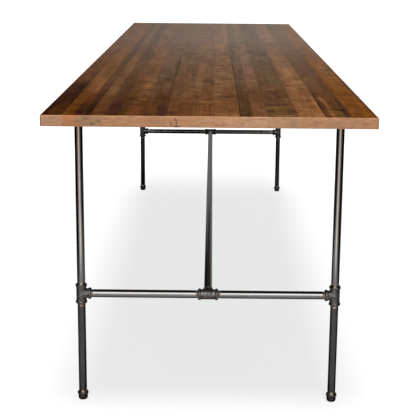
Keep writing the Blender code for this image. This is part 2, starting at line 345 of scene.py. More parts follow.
# Figure in the top face: stave, centre X and Y, half width, half length, strength, tone
FIGURE = (
    (1, -0.47, -1.39, 0.038, 0.34, 0.96, (0.017, 0.0042, 0.0003)),
    (1, -0.448, -1.75, 0.028, 0.12, 0.75, (0.066, 0.018, 0.0006)),
    (1, -0.446, -0.84, 0.011, 0.14, 0.6, COCOA),
    (1, -0.478, -0.48, 0.012, 0.36, 0.35, COCOA),
    (2, -0.424, -1.56, 0.031, 0.38, 0.9, GOLD),
    (2, -0.384, -1.7, 0.017, 0.16, 0.8, BURNT),
    (2, -0.402, -1.12, 0.024, 0.24, 0.65, (0.15, 0.062, 0.018)),
    (3, -0.36, -1.7, 0.013, 0.19, 0.75, BURNT),
    (3, -0.365, -1.15, 0.017, 0.24, 0.55, (0.1, 0.045, 0.018)),
    (4, -0.332, -1.18, 0.018, 0.26, 0.6, SAND),
    (4, -0.322, -0.72, 0.01, 0.36, 0.35, SAND),
    (5, -0.29, -1.66, 0.016, 0.26, 0.6, PLUM),
    (5, -0.297, 0.12, 0.01, 0.48, 0.45, COCOA),
    (6, -0.262, -1.66, 0.013, 0.11, 0.7, COCOA),
    (6, -0.226, -1.7, 0.022, 0.11, 0.75, RUSSET),
    (6, -0.217, -1.15, 0.01, 0.06, 0.6, HONEY),
    (6, -0.209, -1.28, 0.017, 0.011, 0.9, BURNT),
    (6, -0.216, -1.42, 0.006, 0.017, 0.65, BURNT),
    (6, -0.216, -1.51, 0.018, 0.011, 0.5, SAND),
    (6, -0.231, -0.67, 0.016, 0.012, 0.7, COCOA),
    (7, -0.142, -1.72, 0.018, 0.18, 0.75, PLUM),
    (7, -0.147, -1.49, 0.014, 0.031, 0.4, BURNT),
    (7, -0.15, -1.16, 0.018, 0.2, 0.3, SAND),
    (7, -0.133, -0.74, 0.006, 0.84, 0.6, COCOA),
    (7, -0.155, -1.01, 0.006, 0.026, 0.8, BURNT),
    (7, -0.13, -0.48, 0.006, 0.072, 0.8, BURNT),
    (7, -0.172, -1.68, 0.01, 0.072, 0.55, RUSSET),
    (8, -0.082, -1.6, 0.026, 0.01, 0.45, BURNT),
    (8, -0.08, -1.66, 0.024, 0.008, 0.4, BURNT),
    (8, -0.09, -1.78, 0.028, 0.036, 0.3, COCOA),
    (8, -0.063, -0.84, 0.014, 0.054, 0.65, COCOA),
    (8, -0.098, -1.01, 0.024, 0.26, 0.2, COCOA),
    (9, -0.038, -1.6, 0.018, 0.014, 0.5, BURNT),
    (9, -0.026, -1.54, 0.014, 0.019, 0.45, HONEY),
    (9, 0.004, -1.6, 0.012, 0.012, 0.45, BURNT),
    (9, -0.012, -1.7, 0.026, 0.072, 0.55, RUSSET),
    (9, -0.028, -1.15, 0.02, 0.2, 0.35, SAND),
    (10, 0.027, -1.02, 0.011, 0.62, 0.45, SAND),
    (10, 0.024, -1.12, 0.018, 0.007, 0.8, BURNT),
    (10, 0.052, 0.5, 0.014, 0.042, 0.55, COCOA),
    (11, 0.0915, -0.72, 0.003, 1.14, 0.6, BURNT),
    (11, 0.11, -1.66, 0.016, 0.17, 0.5, COCOA),
    (11, 0.099, -0.31, 0.016, 0.014, 0.7, BURNT),
    (11, 0.101, -0.19, 0.018, 0.014, 0.7, BURNT),
    (11, 0.099, -0.06, 0.016, 0.017, 0.6, BURNT),
    (11, 0.106, -0.96, 0.014, 0.31, 0.2, COCOA),
    (12, 0.162, -1.64, 0.008, 0.017, 0.4, BURNT),
    (13, 0.215, -1.722, 0.04, 0.1, 0.6, OLIVE),
    (13, 0.21, -1.6, 0.042, 0.016, 0.55, COCOA),
    (13, 0.198, -1.24, 0.032, 0.011, 0.45, SAND),
    (13, 0.225, -1.8, 0.034, 0.01, 0.45, SAND),
    (13, 0.215, -0.66, 0.024, 0.3, 0.3, OLIVE),
    (14, 0.308, -0.96, 0.03, 0.36, 0.8, (0.228, 0.106, 0.036)),
    (14, 0.322, -0.96, 0.019, 0.011, 0.6, COCOA),
    (14, 0.314, -1.2, 0.015, 0.01, 0.75, BURNT),
    (14, 0.303, -1.51, 0.021, 0.01, 0.6, COCOA),
    (14, 0.306, -1.34, 0.02, 0.072, 0.35, RUSSET),
    (14, 0.296, -0.5, 0.018, 0.012, 0.5, COCOA),
    (15, 0.366, -1.73, 0.007, 0.31, 0.8, HONEY),
    (15, 0.36, -1.45, 0.003, 0.042, 0.55, (0.29, 0.16, 0.07)),
    (15, 0.388, -1.75, 0.008, 0.14, 0.55, OLIVE),
    (15, 0.41, -1.68, 0.008, 0.31, 0.8, PLUM),
    (15, 0.402, -1.69, 0.012, 0.022, 0.85, BURNT),
    (15, 0.345, -1.56, 0.004, 0.36, 0.6, PLUM),
    # Painted shade: a dark strip along the whole right edge of the top.
    (16, 0.487, 0.00, 0.004, 3.00, 0.55, (0.07, 0.022, 0.005)),
    (16, 0.436, -1.66, 0.01, 0.06, 0.45, HONEY),
    (16, 0.45, -0.6, 0.014, 0.24, 0.35, SAND),
)

# End grain colours, left to right
ENDS_OF_STAVES = (
    (0.43, 0.23, 0.125), (0.405, 0.185, 0.09), (0.33, 0.172, 0.09),
    (0.375, 0.198, 0.1), (0.428, 0.216, 0.107), (0.436, 0.222, 0.113),
    (0.41, 0.202, 0.1), (0.436, 0.22, 0.11), (0.46, 0.242, 0.125),
    (0.475, 0.252, 0.133), (0.463, 0.251, 0.135), (0.48, 0.26, 0.139),
    (0.426, 0.232, 0.119), (0.434, 0.216, 0.113), (0.408, 0.206, 0.107),
    (0.414, 0.208, 0.105),
)
FACE_LIGHT = 1.08
# Painted shade: the underside takes its stave's far stain, darkened by this share.
UNDERSIDE_PAINTED_SHADE = 0.35
# Painted shade: the upright corners of the end faces are darkened, the left one far more than the
# right.
UPRIGHT_CORNER_PAINTED_SHADES = {"left": 0.28, "right": 0.6}
# Stain with painted shade: the long upper corners are darker on the left than on the right.
LONG_CORNER_STAIN_AND_SHADE = {"left": (0.016, 0.006, 0.002), "right": (0.085, 0.03, 0.008)}

# Marks on the near end: stave, centre X, Z below the top, half width, half height, strength, tone
END_MARKS = (
    (1, -0.47, 0.012, 0.016, 0.006, 0.45, (0.27, 0.19, 0.11)),
    (2, -0.414, 0.012, 0.016, 0.011, 0.6, (0.46, 0.155, 0.06)),
    (2, -0.402, 0.028, 0.02, 0.004, 0.45, (0.46, 0.18, 0.07)),
    (2, -0.384, 0.013, 0.012, 0.011, 0.5, (0.27, 0.17, 0.09)),
    (3, -0.368, 0.018, 0.014, 0.011, 0.45, (0.25, 0.17, 0.09)),
    (3, -0.362, 0.01, 0.008, 0.0025, 0.6, (0.12, 0.07, 0.045)),
    (4, -0.34, 0.016, 0.016, 0.011, 0.48, (0.27, 0.19, 0.1)),
    (4, -0.345, 0.024, 0.007, 0.003, 0.6, (0.11, 0.06, 0.035)),
    (4, -0.331, 0.018, 0.003, 0.0016, 0.65, (0.04, 0.028, 0.02)),
    (4, -0.322, 0.017, 0.0032, 0.0026, 0.75, (0.03, 0.02, 0.014)),
    (4, -0.338, 0.023, 0.007, 0.002, 0.55, (0.1, 0.06, 0.035)),
    (5, -0.3, 0.009, 0.012, 0.003, 0.6, (0.3, 0.1, 0.05)),
    (7, -0.152, 0.016, 0.01, 0.005, 0.35, (0.26, 0.19, 0.14)),
    (8, -0.1, 0.009, 0.0022, 0.006, 0.85, (0.15, 0.05, 0.035)),
    (8, -0.096, 0.019, 0.0024, 0.008, 0.9, (0.13, 0.045, 0.035)),
    (8, -0.094, 0.031, 0.012, 0.003, 0.9, (0.12, 0.04, 0.032)),
    (8, -0.112, 0.024, 0.0024, 0.007, 0.65, (0.17, 0.07, 0.045)),
    (10, 0.03, 0.025, 0.03, 0.003, 0.35, (0.3, 0.13, 0.08)),
    (11, 0.098, 0.022, 0.003, 0.007, 0.45, (0.2, 0.16, 0.11)),
    (12, 0.15, 0.007, 0.03, 0.002, 0.45, (0.28, 0.12, 0.08)),
    (13, 0.25, 0.018, 0.01, 0.012, 0.55, (0.27, 0.2, 0.13)),
    (14, 0.31, 0.014, 0.006, 0.0035, 0.75, (0.3, 0.1, 0.05)),
    (14, 0.324, 0.016, 0.009, 0.0025, 0.65, (0.3, 0.1, 0.05)),
    (15, 0.385, 0.012, 0.02, 0.01, 0.25, (0.36, 0.16, 0.09)),
    (16, 0.455, 0.019, 0.012, 0.006, 0.35, (0.38, 0.15, 0.06)),
)


# Noises in the wood: frequency in X, Y and Z, per metre, then detail and roughness
GRAIN_NOISES = {
    "streaks": ((85.0, 1.33, 85.0), 4.0, 0.6),
    "broad": ((11.0, 1.33, 11.0), 2.0, 0.5),
    "figure": ((2.6, 11.0, 2.6), 6.0, 0.74),
    "planing": ((17.0, 28.0, 17.0), 3.0, 0.72),
    "chatter": ((26.0, 8.0, 26.0), 2.0, 0.65),
    "threads": ((210.0, 3.8, 210.0), 2.0, 0.6),
    "fibre": ((950.0, 14.0, 950.0), 2.0, 0.5),
}
RAGGED_EDGE = (60.0, 7.5, 60.0)
WARM_PATCHES = (16.0, 2.5, 16.0)
SWAY = (2.0, 0.6, 2.0)
SWAY_REACH = 0.09

# Growth rings: how far aside and below a stave its pith is, and how close together they are
PITH_ASIDE = 0.05
PITH_BELOW = 0.045
PITH_SWING = 0.02
RING_SCALE = 62.0
RING_SWING = 14.0
RING_STRETCH = (1.0, 0.04, 1.0)

# How much each noise darkens or lightens a surface
TOP_GAIN = {"rings": 0.07, "streaks": 0.75, "broad": 0.45, "figure": 0.8,
            "planing": 2.4, "threads": 0.9, "fibre": 0.3}
UNDERSIDE_GAIN = {"rings": 0.1, "streaks": 1.0, "broad": 0.5, "figure": 0.5, "fibre": 0.3}
EDGE_GAIN = {"rings": 0.09, "mottle": 0.75, "lines": 0.3, "broad": 0.25, "pores": 0.15}
CORNER_GAIN = {"streaks": 1.4, "broad": 0.8, "fibre": 0.4}
CHATTER_START = (-1.0, 0.2)
CHATTER_GAIN = 1.6
DARKEST_GAIN = 0.25
WOOD_RELIEF = 0.0002

# The oil finish is duller at the near end: Y where its sheen changes, and its two levels
SHEEN_CHANGE = (-1.92, -0.72)
SHEEN_LEVELS = (0.1, 0.46)

# A mark's edge: how far noise frays it, and where it eases away. Then its half depth.
MARK_FRAY = 1.3
MARK_EDGE = (2.05, 1.15)
THROUGH = 1000.0
END_MARK_DEPTH = 0.03


def grain_fields(tree, place, index):
    """Growth rings and noises, as solid fields around the stave that differ on each stave."""
    own = stretched(tree, place, offset=(7.3 * index + 1.7, 3.1 * index + 0.4,
                                         5.9 * index + 2.2))
    sway = noise(tree, stretched(tree, own, SWAY), detail=2.0)
    shift = centred(tree, sway, SWAY_REACH)
    aside = add_node(tree, "ShaderNodeCombineXYZ", {"X": shift, "Z": shift}).outputs[0]
    bent = add_node(tree, "ShaderNodeVectorMath", {0: place, 1: aside},
                    operation="ADD").outputs[0]
    low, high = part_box(f"top_stave_{index + 1:02d}")
    lean = math.sin(2.3 * index + 0.8)
    pith_x = (low.x + high.x) / 2 + PITH_ASIDE * lean
    pith_z = low.z - PITH_BELOW - PITH_SWING * math.cos(1.7 * index)
    around = stretched(tree, bent, RING_STRETCH, (-pith_x, 0.0, -pith_z))
    rings = add_node(tree, "ShaderNodeTexWave",
                     {"Vector": around, "Scale": RING_SCALE + RING_SWING * lean, "Distortion": 5.0,
                      "Detail": 3.0, "Detail Scale": 0.45, "Detail Roughness": 0.55},
                     wave_type="RINGS", rings_direction="Y", wave_profile="SIN").outputs[1]
    fields = {"own": own, "rings": rings}
    for name, (scale, detail, roughness) in GRAIN_NOISES.items():
        fields[name] = noise(tree, stretched(tree, own, scale), detail=detail,
                             roughness=roughness)
    return fields


def weighted(tree, fields, weights, base=0.5):
    """Adds fields that average 0.5 to a base, each by its weight."""
    total = base
    for name, weight in weights.items():
        total = calc(tree, "ADD", centred(tree, fields[name], weight), total)
    return total


def tinted(tree, colour, gain):
    """Darkens or lightens wood. Its dark parts grow redder and its light parts paler."""
    channels = {"X": gain, "Y": calc(tree, "POWER", gain, 1.15),
                "Z": calc(tree, "POWER", gain, 1.3)}
    factor = add_node(tree, "ShaderNodeCombineXYZ", channels).outputs[0]
    if not isinstance(colour, bpy.types.NodeSocket):
        colour = colour[:3]
    return add_node(tree, "ShaderNodeVectorMath", {0: colour, 1: factor},
                    operation="MULTIPLY").outputs[0]


def ellipse(tree, place, ragged, centre, half):
    """One inside a ragged ellipsoid, easing to nothing outside it."""
    scale = [1.0 / size for size in half]
    offset = [-middle * grow for middle, grow in zip(centre, scale)]
    local = stretched(tree, place, scale, offset)
    reach = add_node(tree, "ShaderNodeVectorMath", {0: local}, operation="LENGTH").outputs[1]
    frayed = calc(tree, "ADD", reach, product(tree, ragged, MARK_FRAY))
    return eased(tree, frayed, *MARK_EDGE)


def with_marks(tree, place, ragged, colour, marks):
    for centre, half, strength, tone in marks:
        inside = ellipse(tree, place, ragged, centre, half)
        colour = mixed(tree, product(tree, inside, strength), colour, (*tone, 1.0))
    return colour


def dimmed(colour, share):
    return tuple(channel * share for channel in colour)


def stained_wood(index):
    """The dark satin face of one stave."""
    material, tree, shader, place = new_material(f"stained_wood_{index + 1:02d}")
    fields = grain_fields(tree, place, index)
    along = parts_of(tree)[1]
    wander = centred(tree, fields["broad"], STAIN_WANDER)
    away = eased(tree, calc(tree, "ADD", along, wander), *STAIN_CHANGE)
    near, far = STAINS[index]
    colour = mixed(tree, away, (*near, 1.0), (*far, 1.0))
    ragged = noise(tree, stretched(tree, fields["own"], RAGGED_EDGE))
    marks = [((x, y, 0.0), (half_x, half_y, THROUGH), strength, tone)
             for stave, x, y, half_x, half_y, strength, tone in FIGURE if stave == index + 1]
    colour = with_marks(tree, place, ragged, colour, marks)
    warm = noise(tree, stretched(tree, fields["own"], WARM_PATCHES, (9.0, 4.0, 2.0)))
    colour = mixed(tree, eased(tree, warm, 0.5, 0.72, 0.0, TINT_SHARE), colour,
                   (*WARM_TINT, 1.0))
    colour = mixed(tree, eased(tree, warm, 0.46, 0.3, 0.0, TINT_SHARE), colour,
                   (*OILY_TINT, 1.0))
    gain = weighted(tree, fields, TOP_GAIN, 1.0)
    chatter = centred(tree, fields["chatter"],
                      eased(tree, along, *CHATTER_START, 0.0, CHATTER_GAIN))
    gain = calc(tree, "MAXIMUM", calc(tree, "ADD", gain, chatter), DARKEST_GAIN)
    set_inputs(tree, shader, {
        "Base Color": tinted(tree, colour, gain),
        "Roughness": weighted(tree, fields, {"streaks": 0.06, "figure": 0.05}, 0.31),
        "Specular IOR Level": eased(tree, along, *SHEEN_CHANGE, *SHEEN_LEVELS)})
    height = weighted(tree, fields, {"fibre": 0.6, "rings": 0.2, "figure": 0.4})
    set_bump(tree, shader, height, WOOD_RELIEF)
    return material


def underside_wood(index):
    """The sealed underside of one stave: plainer than the top, with its stain darkened by painted
    shade.
    """
    material, tree, shader, place = new_material(f"underside_wood_{index + 1:02d}")
    fields = grain_fields(tree, place, index)
    tone = dimmed(STAINS[index][1], UNDERSIDE_PAINTED_SHADE)
    gain = weighted(tree, fields, UNDERSIDE_GAIN, 1.0)
    set_inputs(tree, shader, {
        "Base Color": tinted(tree, tone, gain),
        "Roughness": weighted(tree, fields, {"streaks": 0.1, "figure": 0.1}, 0.52)})
    set_bump(tree, shader, fields["fibre"], WOOD_RELIEF)
    return material


def bare_edge_wood(index, shade=1.0, name="edge_wood"):
    """The paler end grain and edge grain of one stave. A shade below 1 darkens it all, marks too:
    painted shade, used on the upright corners.
    """
    material, tree, shader, place = new_material(f"{name}_{index + 1:02d}")
    fields = grain_fields(tree, place, index)
    own = fields["own"]
    fields["mottle"] = noise(tree, stretched(tree, own, (38.0, 38.0, 110.0)), detail=4.0,
                             roughness=0.6)
    fields["lines"] = noise(tree, stretched(tree, own, (9.0, 9.0, 480.0)))
    fields["pores"] = noise(tree, stretched(tree, own, (900.0, 900.0, 900.0)), detail=1.0)
    share = shade / FACE_LIGHT
    low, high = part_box(f"top_stave_{index + 1:02d}")
    near_y, top_z = low.y, high.z
    ragged = noise(tree, stretched(tree, own, (260.0, 260.0, 260.0)), detail=2.0)
    marks = []
    for stave, x, depth, half_x, half_z, strength, tone in END_MARKS:
        if stave == index + 1:
            marks.append(((x, near_y, top_z - depth), (half_x, END_MARK_DEPTH, half_z),
                          strength, dimmed(tone, share)))
    colour = (*dimmed(ENDS_OF_STAVES[index], share), 1.0)
    colour = with_marks(tree, place, ragged, colour, marks)
    gain = weighted(tree, fields, EDGE_GAIN, 1.0)
    set_inputs(tree, shader, {
        "Base Color": tinted(tree, colour, gain),
        "Roughness": weighted(tree, fields, {"mottle": 0.2, "pores": 0.2}, 0.62),
        "Specular IOR Level": 0.25})
    height = weighted(tree, fields, {"pores": 0.8, "lines": 0.6, "mottle": 0.4})
    set_bump(tree, shader, height, WOOD_RELIEF)
    return material


def long_corner_wood(index, side):
    """The long upper corner: dark stain, with painted shade that makes the left corner far darker
    than the right.
    """
    material, tree, shader, place = new_material(f"long_arris_stain_and_shade_{index + 1:02d}")
    fields = grain_fields(tree, place, index)
    gain = weighted(tree, fields, CORNER_GAIN, 1.0)
    set_inputs(tree, shader, {
        "Base Color": tinted(tree, LONG_CORNER_STAIN_AND_SHADE[side], gain),
        "Roughness": weighted(tree, fields, {"streaks": 0.3, "fibre": 0.1}, 0.42)})
    set_bump(tree, shader, fields["fibre"], WOOD_RELIEF)
    return material


# Material slots of a stave. Only the two outer staves have the last two.
TOP_FACE, BARE_EDGE, UNDERSIDE, LONG_CORNER, UPRIGHT_CORNER = range(5)
ON_FACE = 0.0002
FACING_AWAY = 0.1
FLAT_UP = 0.98


def is_outer_edge(edge, low, high):
    """True where an edge lies on two outer faces of the whole top."""
    touched = [axis for axis in range(3) for limit in (low, high)
               if all(abs(vert.co[axis] - limit[axis]) < ON_FACE for vert in edge.verts)]
    return len(touched) >= 2


def face_finish(normal):
    """The material slot of a face, from the way it faces."""
    across, along, up = (abs(part) > FACING_AWAY for part in normal)
    if abs(normal.z) > FLAT_UP:
        return TOP_FACE if normal.z > 0.0 else UNDERSIDE
    if across and up and not along:
        return LONG_CORNER
    if across and along:
        return UPRIGHT_CORNER
    return BARE_EDGE


def stave_mesh(name, low, high, top_low, top_high):
    """A board between two corners, eased where its edges are edges of the whole top."""
    block = bmesh.new()
    bmesh.ops.create_cube(block, size=1.0)
    bmesh.ops.scale(block, verts=block.verts, vec=high - low)
    bmesh.ops.translate(block, verts=block.verts, vec=(low + high) / 2)
    outer = [edge for edge in block.edges if is_outer_edge(edge, top_low, top_high)]
    bmesh.ops.bevel(block, geom=outer, offset=ARRIS, offset_type="OFFSET",
                    segments=5, profile=0.5, affect="EDGES")
    block.normal_update()
    for face in block.faces:
        face.material_index = face_finish(face.normal)
    mesh = bpy.data.meshes.new(name)
    block.to_mesh(mesh)
    block.free()
    return mesh


def make_staves():
    nodes = sorted(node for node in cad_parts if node.startswith("top_stave"))
    boxes = [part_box(node) for node in nodes]
    top_low, top_high = boxes[0][0], boxes[-1][1]
    last = len(nodes) - 1
    for index, node in enumerate(nodes):
        low, high = (corner.copy() for corner in boxes[index])
        if index > 0:
            low.x = (boxes[index - 1][1].x + low.x) / 2 + SEAM
        if index < last:
            high.x = (high.x + boxes[index + 1][0].x) / 2 - SEAM
        name = f"stave_{index + 1:02d}"
        mesh = stave_mesh(name, low, high, top_low, top_high)
        smooth(mesh, 30.0)
        finishes = [stained_wood(index), bare_edge_wood(index), underside_wood(index)]
        # The outer staves add corner finishes that carry painted shade, darker on the left.
        if index in (0, last):
            side = "left" if index == 0 else "right"
            finishes += [long_corner_wood(index, side),
                         bare_edge_wood(index, UPRIGHT_CORNER_PAINTED_SHADES[side], "painted_shade_corner_wood")]
        add_piece(name, mesh, finishes, node)


# --- metal ---

PIPE_RELIEF = 0.000006
THREAD_RELIEF = 0.0001
CAST_RELIEF = 0.0006
SCREW_RELIEF = 0.00005


def pipe_metal(name, tones, low_rough, high_rough):
    """Black mill-coated pipe: dark, faintly clouded and scuffed."""
    material, tree, shader, place = new_material(name)
    cloud = noise(tree, place, 9.0, 4.0, 0.6)
    speck = noise(tree, place, 500.0, 2.0)
    tone = blend(tree, cloud, speck, 0.7)
    set_inputs(tree, shader, {
        "Base Color": ramp(tree, tone, list(zip((0.3, 0.52, 0.72), tones))),
        "Roughness": eased(tree, tone, 0.3, 0.7, low_rough, high_rough),
        "Metallic": 1.0})
    set_bump(tree, shader, speck, PIPE_RELIEF)
    return material


def glossy_coat():
    tones = ((0.16, 0.157, 0.155), (0.2, 0.197, 0.195), (0.235, 0.228, 0.222))
    return pipe_metal("glossy_black_pipe", tones, 0.1, 0.17)


# Painted shade: the lower legs get a darker, rougher copy of the glossy coat, so that they read
# darker than the upper legs.
def dull_shaded_coat():
    tones = ((0.062, 0.062, 0.063), (0.08, 0.08, 0.081), (0.1, 0.099, 0.098))
    return pipe_metal("dull_shaded_black_pipe", tones, 0.28, 0.38)


def thread_metal():
    """Cut threads: bare steel, browned with oil and a little rust."""
    material, tree, shader, place = new_material("cut_thread")
    cloud = noise(tree, place, 210.0, 4.0, 0.6)
    stops = ((0.32, (0.11, 0.078, 0.052)), (0.5, (0.27, 0.22, 0.175)),
             (0.68, (0.46, 0.41, 0.365)))
    set_inputs(tree, shader, {"Base Color": ramp(tree, cloud, stops), "Metallic": 1.0,
                              "Roughness": eased(tree, cloud, 0.35, 0.7, 0.48, 0.3)})
    set_bump(tree, shader, cloud, THREAD_RELIEF)
    return material


def cast_metal():
    """Black malleable iron: brown-grey, mottled, with a fine cast grain."""
    material, tree, shader, place = new_material("cast_iron")
    blotch = noise(tree, place, 130.0, 4.0, 0.62)
    grain = noise(tree, place, 900.0, 3.0, 0.6)
    tone = blend(tree, blotch, grain, 0.75)
    stops = ((0.34, (0.06, 0.051, 0.046)), (0.5, (0.12, 0.107, 0.1)),
             (0.68, (0.225, 0.212, 0.202)))
    set_inputs(tree, shader, {"Base Color": ramp(tree, tone, stops), "Metallic": 1.0,
                              "Roughness": eased(tree, tone, 0.34, 0.66, 0.58, 0.38)})
    set_bump(tree, shader, blend(tree, blotch, grain, 0.5), CAST_RELIEF)
    return material


def screw_metal():
    material, tree, shader, place = new_material("black_screw")
    cloud = noise(tree, place, 300.0, 3.0)
    stops = ((0.35, (0.055, 0.055, 0.058)), (0.65, (0.12, 0.118, 0.116)))
    set_inputs(tree, shader, {"Base Color": ramp(tree, cloud, stops), "Metallic": 0.9,
                              "Roughness": eased(tree, cloud, 0.35, 0.65, 0.34, 0.48)})
    set_bump(tree, shader, cloud, SCREW_RELIEF)
    return material


PIPE_STEPS = 64
FITTING_STEPS = 72
THREAD_ROWS_PER_TURN = 8


def thread_radius(from_tip, angle):
    """Radius of the cut thread around one ring, at a distance from the pipe's tip."""
    turn = from_tip / THREAD_PITCH - angle / math.tau
    saw = np.abs((turn % 1.0) - 0.5) * 2.0
    groove = np.clip(THREAD_STEEPNESS * (1.0 - saw) - THREAD_CREST_SHARE, 0.0, 1.0)
    fade = min(1.0, max(0.0, (THREAD_LENGTH - from_tip) / THREAD_FADE))
    crest = THREAD_CREST + (PIPE_RADIUS - THREAD_CREST) * (1.0 - fade)
    return crest - (THREAD_CREST - THREAD_ROOT) * fade * groove


def pipe_mesh(length):
    """A pipe along Z, centred, with a helical thread showing at both ends."""
    angle = np.linspace(0.0, math.tau, PIPE_STEPS, endpoint=False)
    half = length / 2
    rows = int((THREAD_LENGTH - THREAD_HIDDEN) / THREAD_PITCH * THREAD_ROWS_PER_TURN)
    depths = np.linspace(THREAD_HIDDEN, THREAD_LENGTH, rows)
    tip_end = half - THREAD_HIDDEN * THREAD_TIP_SHARE
    end_rings = [circle(BORE_RADIUS, half, PIPE_STEPS),
                 circle(THREAD_ROOT, half, PIPE_STEPS),
                 circle(THREAD_ROOT + THREAD_TAPER, tip_end, PIPE_STEPS)]
    end_rings += [circle(thread_radius(depth, angle), half - depth, PIPE_STEPS)
                  for depth in depths]
    end_rings.append(circle(PIPE_RADIUS, half - THREAD_LENGTH - THREAD_RUNOUT, PIPE_STEPS))
    flip = np.array((1.0, 1.0, -1.0))
    other_end = [ring * flip for ring in end_rings[::-1]]
    mesh = rings_mesh("pipe", end_rings + other_end, True)
    thread_faces = (len(end_rings) - 2) * PIPE_STEPS
    first_other = (len(end_rings) + 1) * PIPE_STEPS
    for face in mesh.polygons:
        in_first = PIPE_STEPS <= face.index < thread_faces
        in_other = first_other <= face.index < first_other + thread_faces - PIPE_STEPS
        face.material_index = 1 if in_first or in_other else 0
    face_outward(mesh)
    smooth(mesh, 50.0)
    return mesh


def make_pipes(coat, lower_coat, thread):
    names = [node for node in sorted(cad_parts)
             if node.startswith(("upper_leg", "lower_leg", "crossbar", "stretcher"))]
    for node in names:
        low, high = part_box(node)
        size = high - low
        axis = max(range(3), key=lambda number: size[number])
        mesh = pipe_mesh(size[axis])
        mesh.name = f"pipe_{node}"
        direction = Vector((axis == 0, axis == 1, axis == 2))
        turn = direction.to_track_quat("Z", "Y").to_matrix().to_4x4()
        mesh.transform(Matrix.Translation((low + high) / 2) @ turn)
        # The lower legs take the darker coat, which paints shade on them.
        finishes = [lower_coat if node.startswith("lower_leg") else coat, thread]
        add_piece(f"pipe_{node}", mesh, finishes, node)


BEAD_STEPS = 12
BEAD_FLATNESS = 2.8
BEAD_FULLNESS = 2.2
BEAD_LIP = 0.25


def bead(top, radius, body_radius):
    """Outer side of a rounded band, from its mouth at height `top` down to the body."""
    points = []
    centre = top - BAND_LENGTH / 2
    rise = radius - body_radius
    for step in range(BEAD_STEPS + 1):
        share = -1.0 + 2.0 * step / BEAD_STEPS
        swell = (1.0 - abs(share) ** BEAD_FLATNESS) ** (1.0 / BEAD_FULLNESS)
        lip = rise * BEAD_LIP if step == 0 else 0.0
        points.append((body_radius + max(rise * swell, lip), centre - share * BAND_LENGTH / 2))
    return points


def tee_part(name, upper, both_ends):
    """Turns an upper half with its mirror image, or cut off flat at the tee's centre."""
    if both_ends:
        lower = [(radius, -height) for radius, height in reversed(upper)]
    else:
        lower = [(upper[-1][0], 0.0)]
    profile = [(0.0, upper[0][1])] + upper + lower + [(0.0, lower[-1][1])]
    return turned_mesh(name, profile, FITTING_STEPS)


def tee_solid(both_ends, body_radius):
    return tee_part("tee_solid", bead(TEE_REACH, BAND_RADIUS, body_radius), both_ends)


def tee_hollow(both_ends):
    floor = TEE_REACH - SOCKET_DEPTH
    upper = [(MOUTH_RADIUS + 0.0018, TEE_REACH + CUT_PAST),
             (MOUTH_RADIUS, TEE_REACH - MOUTH_CHAMFER),
             (MOUTH_RADIUS - 0.0003, floor), (PASSAGE_RADIUS, floor)]
    return tee_part("tee_hollow", upper, both_ends)


def tee_mesh():
    """A tee with its run along Z and its branch along +X, softened like a casting."""
    sideways = Matrix.Rotation(math.pi / 2, 4, "Y")
    base, helpers = combined(tee_solid(True, BODY_RADIUS), [
        ("UNION", tee_solid(False, BRANCH_RADIUS), sideways),
        ("DIFFERENCE", tee_hollow(True), Matrix.Identity(4)),
        ("DIFFERENCE", tee_hollow(False), sideways),
    ])
    remesh = base.modifiers.new("remesh", "REMESH")
    remesh.mode = "VOXEL"
    remesh.voxel_size = CASTING_VOXEL
    soften = base.modifiers.new("soften", "SMOOTH")
    soften.factor = 0.5
    soften.iterations = 5
    mesh = baked(base, helpers)
    mesh.shade_smooth()
    return mesh


def make_tees(iron):
    shape = tee_mesh()
    places = []
    for end in ENDS:
        inward = 1.0 if end == "front" else -1.0
        places.append((f"centre_tee_{end}", Vector((1, 0, 0)), Vector((0, inward, 0))))
        for side in SIDES:
            toward = 1.0 if side == "left" else -1.0
            places.append((f"leg_tee_{end}_{side}", Vector((0, 0, 1)), Vector((toward, 0, 0))))
    for node, run, branch in places:
        low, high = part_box(node)
        centre = (low + high) / 2
        slide = centre.dot(branch) - (TEE_REACH - BAND_RADIUS) / 2
        centre += branch * (slide - centre.dot(branch))
        across = run.cross(branch)
        axes = Matrix((branch, across, run)).transposed().to_4x4()
        mesh = shape.copy()
        mesh.transform(Matrix.Translation(centre) @ axes)
        add_piece(f"cast_{node}", mesh, [iron], node)


def cap_mesh(height):
    """A beaded pipe cap, mouth up, with a domed end and a small flat under it."""
    floor = height - SOCKET_DEPTH
    inside = [(0.0, floor), (MOUTH_RADIUS - MOUTH_TAPER, floor),
              (MOUTH_RADIUS, height - MOUTH_CHAMFER), (MOUTH_RADIUS + 0.001, height)]
    outside = bead(height, CAP_BAND_RADIUS, CAP_BODY_RADIUS)
    dome = [(CAP_BODY_RADIUS, CAP_DOME_HEIGHT)]
    for step in range(1, 10):
        bend = math.radians(10.0 * step)
        swing = (CAP_BODY_RADIUS - CAP_FLAT_RADIUS) * math.cos(bend)
        dome.append((CAP_FLAT_RADIUS + swing, CAP_DOME_HEIGHT * (1.0 - math.sin(bend))))
    profile = inside + outside + dome + [(CAP_FLAT_RADIUS, 0.0), (0.0, 0.0)]
    mesh = turned_mesh("cap", profile, FITTING_STEPS)
    smooth(mesh, 50.0)
    return mesh


def standing_at(node, height):
    """The move from the origin to a height on the node's upright centre line."""
    low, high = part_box(node)
    middle = (low + high) / 2
    return Matrix.Translation((middle.x, middle.y, height))


def make_caps(iron):
    for corner in CORNERS:
        node = f"foot_cap_{corner}"
        low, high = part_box(node)
        mesh = cap_mesh(high.z - low.z)
        mesh.transform(standing_at(node, low.z))
        add_piece(f"cast_{node}", mesh, [iron], node)


def screw_spots():
    spots = []
    for number in range(SCREWS_PER_FLANGE):
        angle = math.tau * (number + 0.5) / SCREWS_PER_FLANGE
        spots.append(Vector((math.cos(angle), math.sin(angle), 0.0)) * SCREW_CIRCLE)
    return spots


